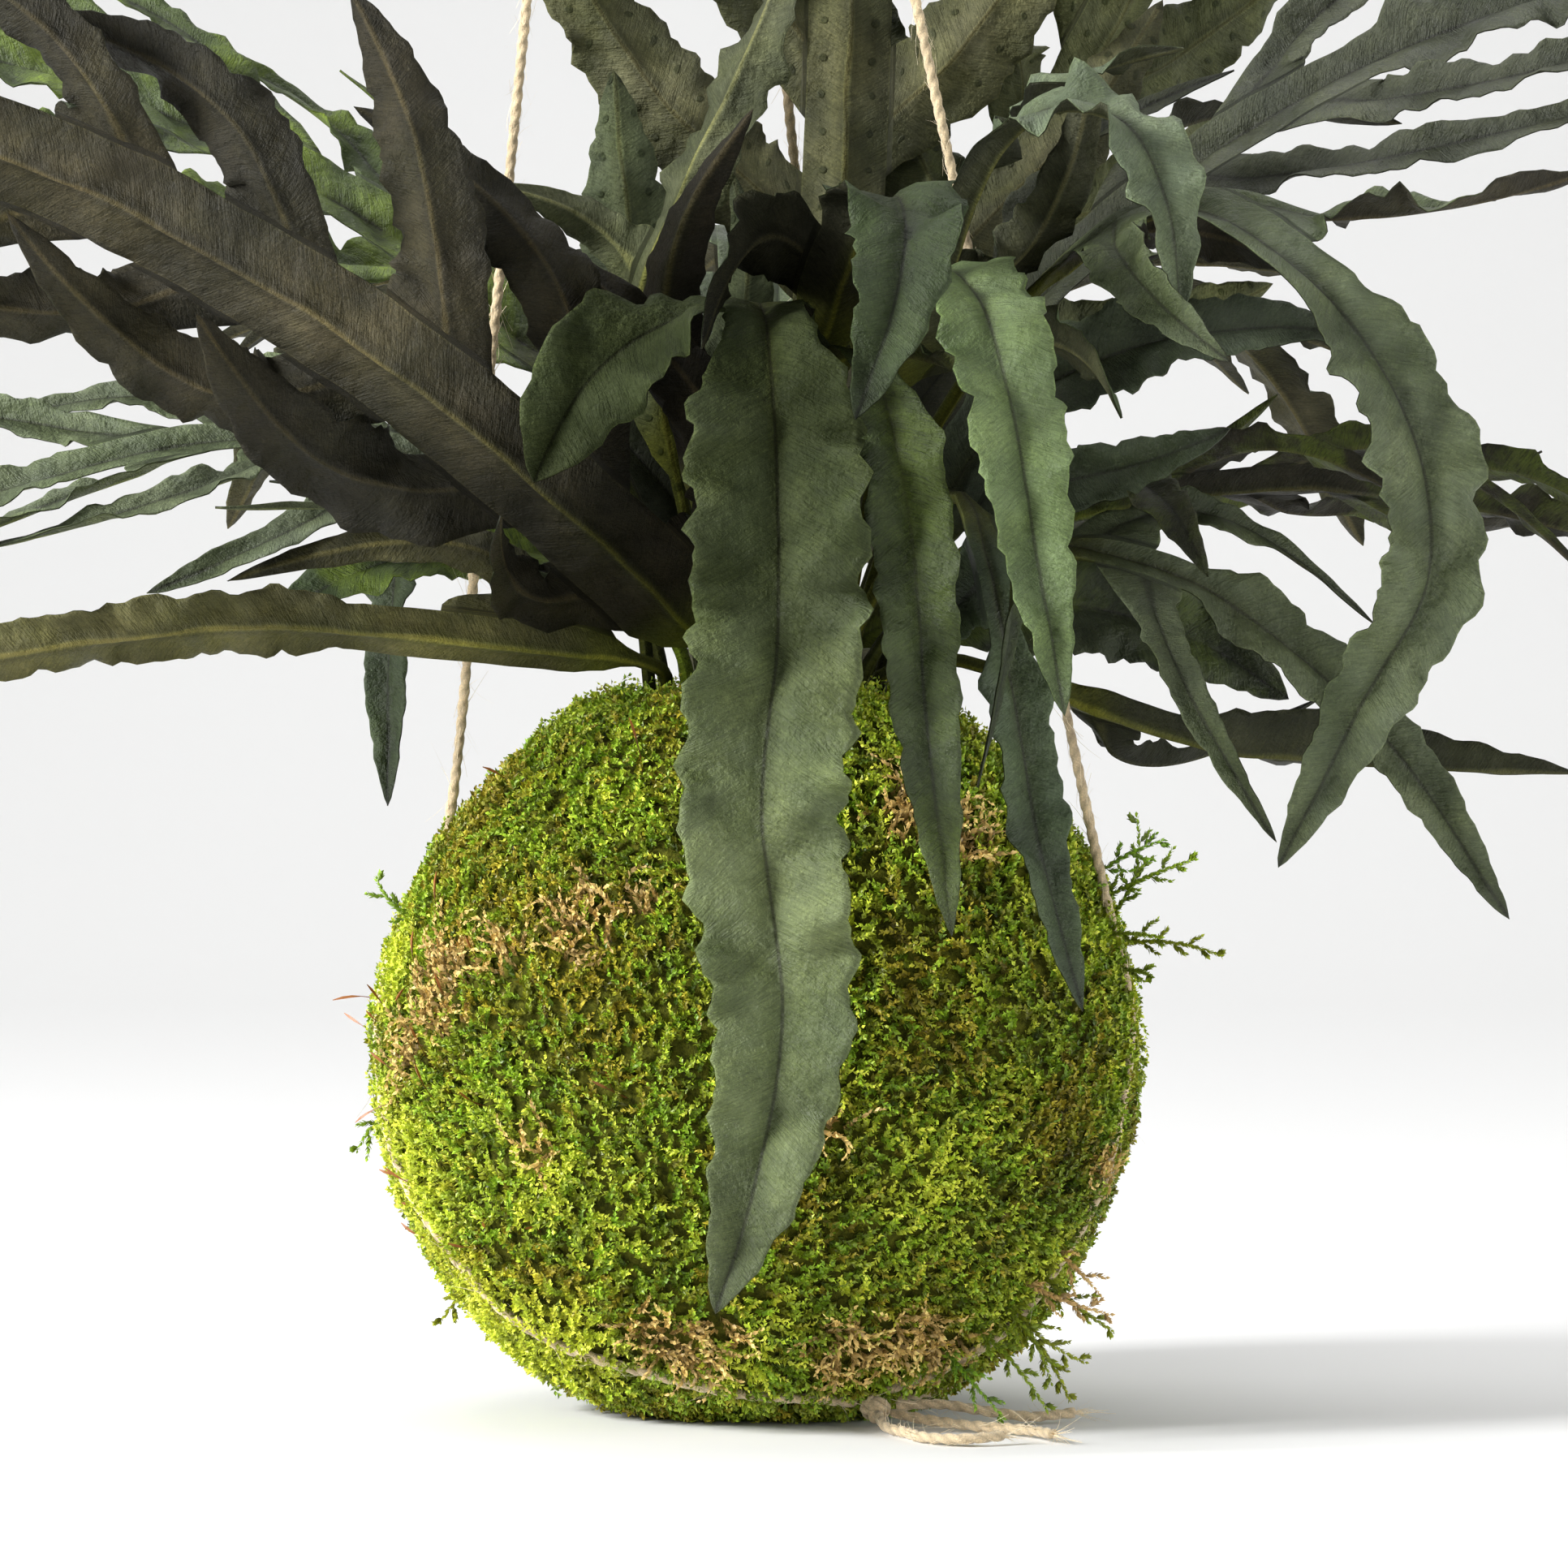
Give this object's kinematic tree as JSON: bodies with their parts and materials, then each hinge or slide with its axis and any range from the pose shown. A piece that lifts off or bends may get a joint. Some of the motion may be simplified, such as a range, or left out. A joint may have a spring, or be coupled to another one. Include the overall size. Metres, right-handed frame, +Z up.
{
  "type": "kokedama moss ball plant",
  "caption": "Moss-wrapped ball of soil that rests on a small flat spot, bound and slung in jute twine, with a crown of long wavy fern fronds that arch up, out and down over it.",
  "frame": {"origin": "centre of the small flat spot under the ball, on the surface it rests on", "axes": "+Z up through the ball's centre, +X to the right and the front towards -Y"},
  "size_m": [0.4282, 0.291, 0.5772],
  "materials": {
    "moss": "living moss, matt",
    "soil": "damp peaty soil, matt",
    "rhizome": "scaly root stock, matt",
    "twine": "jute, matt and hairy",
    "leaf": "leathery frond, satin blue-green",
    "leaf_under": "leathery frond, brown-olive underside"
  },
  "bodies": {
    "root": {"moss_cover": "moss", "soil_ball": "soil", "rhizome": "rhizome", "hanger_left": "twine", "hanger_right": "twine", "hanger_back": "twine", "hanger_knot": "twine", "hanger_loop": "twine", "foot_knot": "twine", "tail_front": "twine", "tail_middle": "twine", "tail_right": "twine", "frond_front_centre": "leaf", "frond_centre_fold": "leaf", "frond_front_b": "leaf", "frond_front_c": "leaf", "frond_front_d": "leaf", "frond_left_big": "leaf_under", "frond_left_low": "leaf_under", "frond_left_mid": "leaf", "frond_upper_left": "leaf", "frond_left_hang": "leaf", "frond_upright_back": "leaf", "frond_right_up": "leaf", "frond_centre_pale": "leaf", "frond_centre_twist": "leaf", "frond_centre_spear": "leaf", "frond_right_frill": "leaf", "frond_right_arch": "leaf", "frond_right_dark": "leaf", "frond_upper_right": "leaf", "frond_right_mid": "leaf", "frond_right_low": "leaf", "frond_right_flat": "leaf", "frond_back_left": "leaf", "frond_back_centre": "leaf", "frond_back_right": "leaf", "frond_back_low": "leaf", "frond_inner_left": "leaf", "frond_inner_centre": "leaf", "frond_inner_right": "leaf", "frond_inner_back": "leaf"}
  },
  "joints": []
}
